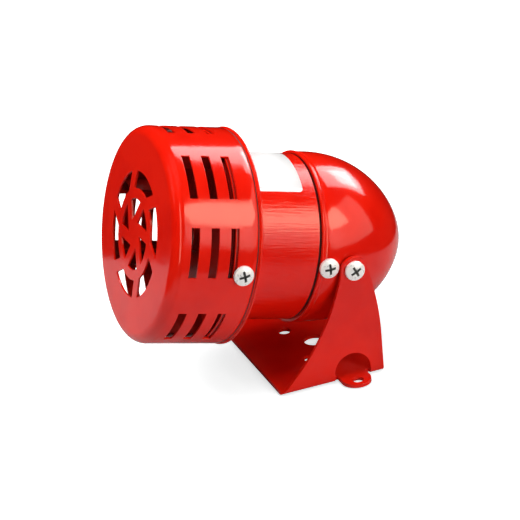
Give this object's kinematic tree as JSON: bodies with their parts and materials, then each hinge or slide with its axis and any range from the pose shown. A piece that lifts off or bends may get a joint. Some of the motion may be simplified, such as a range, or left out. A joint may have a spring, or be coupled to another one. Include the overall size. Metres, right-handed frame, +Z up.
{
  "type": "motor siren",
  "caption": "Small electric motor siren: slotted round head with a spinning slotted rotor and a motor behind it, held by friction in a U-shaped tilting foot.",
  "frame": {"origin": "centre of the bracket's centre hole, on the underside of its base", "axes": "+Z up from the surface it is fastened to, -Y towards the siren's front grille, X along the tilt axis"},
  "size_m": [0.084, 0.1102, 0.0991],
  "materials": {
    "red_paint": "gloss stove enamel on pressed steel",
    "bright_steel": "bright nickel plate",
    "zinc_steel": "zinc plated",
    "core_steel": "stacked laminations",
    "white_label": "blank satin film",
    "black_rubber": "moulded",
    "enamelled_copper": "varnished winding wire",
    "copper": "turned",
    "bronze": "sintered",
    "brass": "folded sheet",
    "carbon": "pressed graphite",
    "dark_resin": "moulded",
    "lead_insulation": "soft insulation"
  },
  "bodies": {
    "foot": {"bracket": "red_paint"},
    "head": {"front_shell": "red_paint", "shell_screws": "bright_steel", "flange_pan": "red_paint", "motor_housing": "red_paint", "rating_label": "white_label", "rear_cap": "red_paint", "cap_screws": "bright_steel", "pivot_screws": "bright_steel", "pivot_washers": "zinc_steel", "pivot_nuts": "zinc_steel", "cable_grommet": "black_rubber", "motor_front_plate": "zinc_steel", "motor_rear_plate": "zinc_steel", "stator_core": "core_steel", "field_coils": "enamelled_copper", "through_bolts": "zinc_steel", "through_bolt_nuts": "zinc_steel", "front_bush": "bronze", "rear_bush": "bronze", "brush_holders": "brass", "carbon_brushes": "carbon", "brush_springs": "bright_steel", "brush_caps": "dark_resin", "supply_leads": "lead_insulation"},
    "rotor": {"motor_shaft": "bright_steel", "siren_rotor": "red_paint", "rotor_washer": "zinc_steel", "rotor_nut": "zinc_steel", "shaft_collar": "zinc_steel", "armature_core": "core_steel", "armature_windings": "enamelled_copper", "commutator_core": "dark_resin", "commutator_segments": "copper"}
  },
  "joints": [
    {"name": "tilt", "type": "hinge", "parent": "foot", "child": "head", "pos_m": [0, 0.005, 0.0434], "axis": [-1, 0, 0], "range_deg": [-16.4, 167.5]},
    {"name": "rotor_spin", "type": "hinge", "parent": "head", "child": "rotor", "pos_m": [0, 0.005, 0.0434], "axis": [0, 0.9686, -0.2487], "continuous": true}
  ]
}
